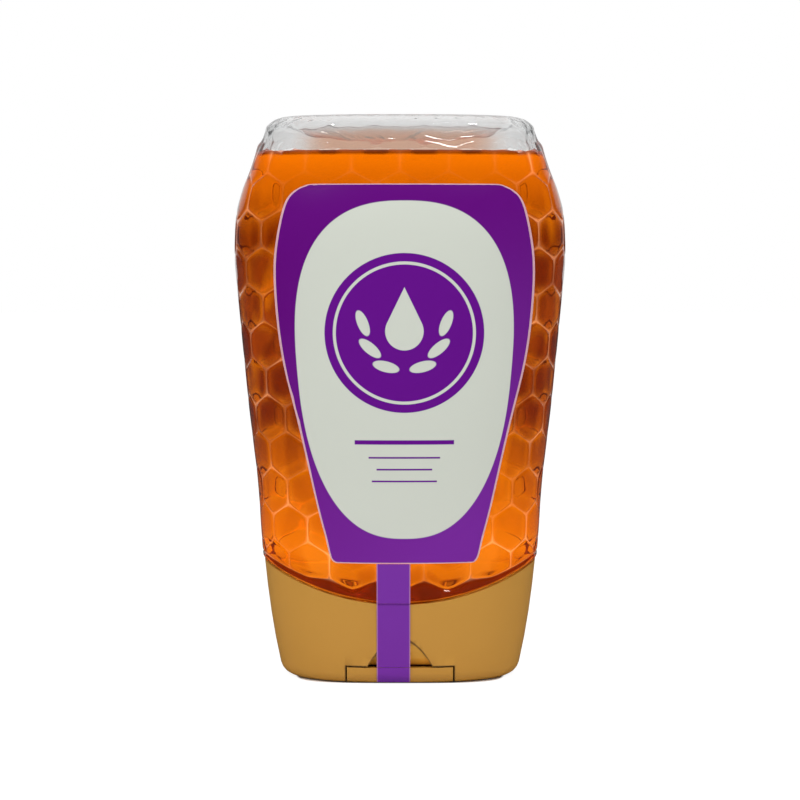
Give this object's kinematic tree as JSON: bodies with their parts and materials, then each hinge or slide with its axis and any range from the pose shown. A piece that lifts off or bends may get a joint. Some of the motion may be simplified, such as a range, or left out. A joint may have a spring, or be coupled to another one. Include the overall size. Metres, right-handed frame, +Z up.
{
  "type": "honey squeeze bottle",
  "caption": "Upside-down squeeze bottle of honey with a honeycomb-embossed clear body, a plain label and a wide flip-top dispensing cap.",
  "frame": {"origin": "middle of the underside of the cap, on which the bottle stands", "axes": "+Z up through the bottle, X across its width, the front with the label faces -Y"},
  "size_m": [0.0862, 0.0548, 0.145],
  "materials": {
    "bottle_plastic": "clear, glossy",
    "honey": "clear amber liquid",
    "label_film": "printed film, satin",
    "cap_plastic": "gold, satin",
    "valve_silicone": "translucent white, matt",
    "retainer_plastic": "white, satin",
    "washer_foam": "white foam"
  },
  "bodies": {
    "cap_body": {"cap": "cap_plastic", "lid_hinge": "cap_plastic", "valve": "valve_silicone", "valve_retainer": "retainer_plastic", "neck_washer": "washer_foam", "seal_strip_cap": "label_film"},
    "bottle_body": {"bottle": "bottle_plastic", "honey": "honey", "label": "label_film", "seal_strip_bottle": "label_film"},
    "lid_body": {"lid": "cap_plastic", "seal_strip_lid": "label_film"}
  },
  "joints": [
    {"name": "lid_flip", "type": "hinge", "parent": "cap_body", "child": "lid_body", "pos_m": [0, 0.0134, 0.0003], "axis": [1, 0, 0], "range_deg": [0, 130], "deforming": ["lid_hinge"]},
    {"name": "cap_pull", "type": "slide", "parent": "cap_body", "child": "bottle_body", "axis": [0, 0, 1], "range_m": [0, 0.03]}
  ]
}
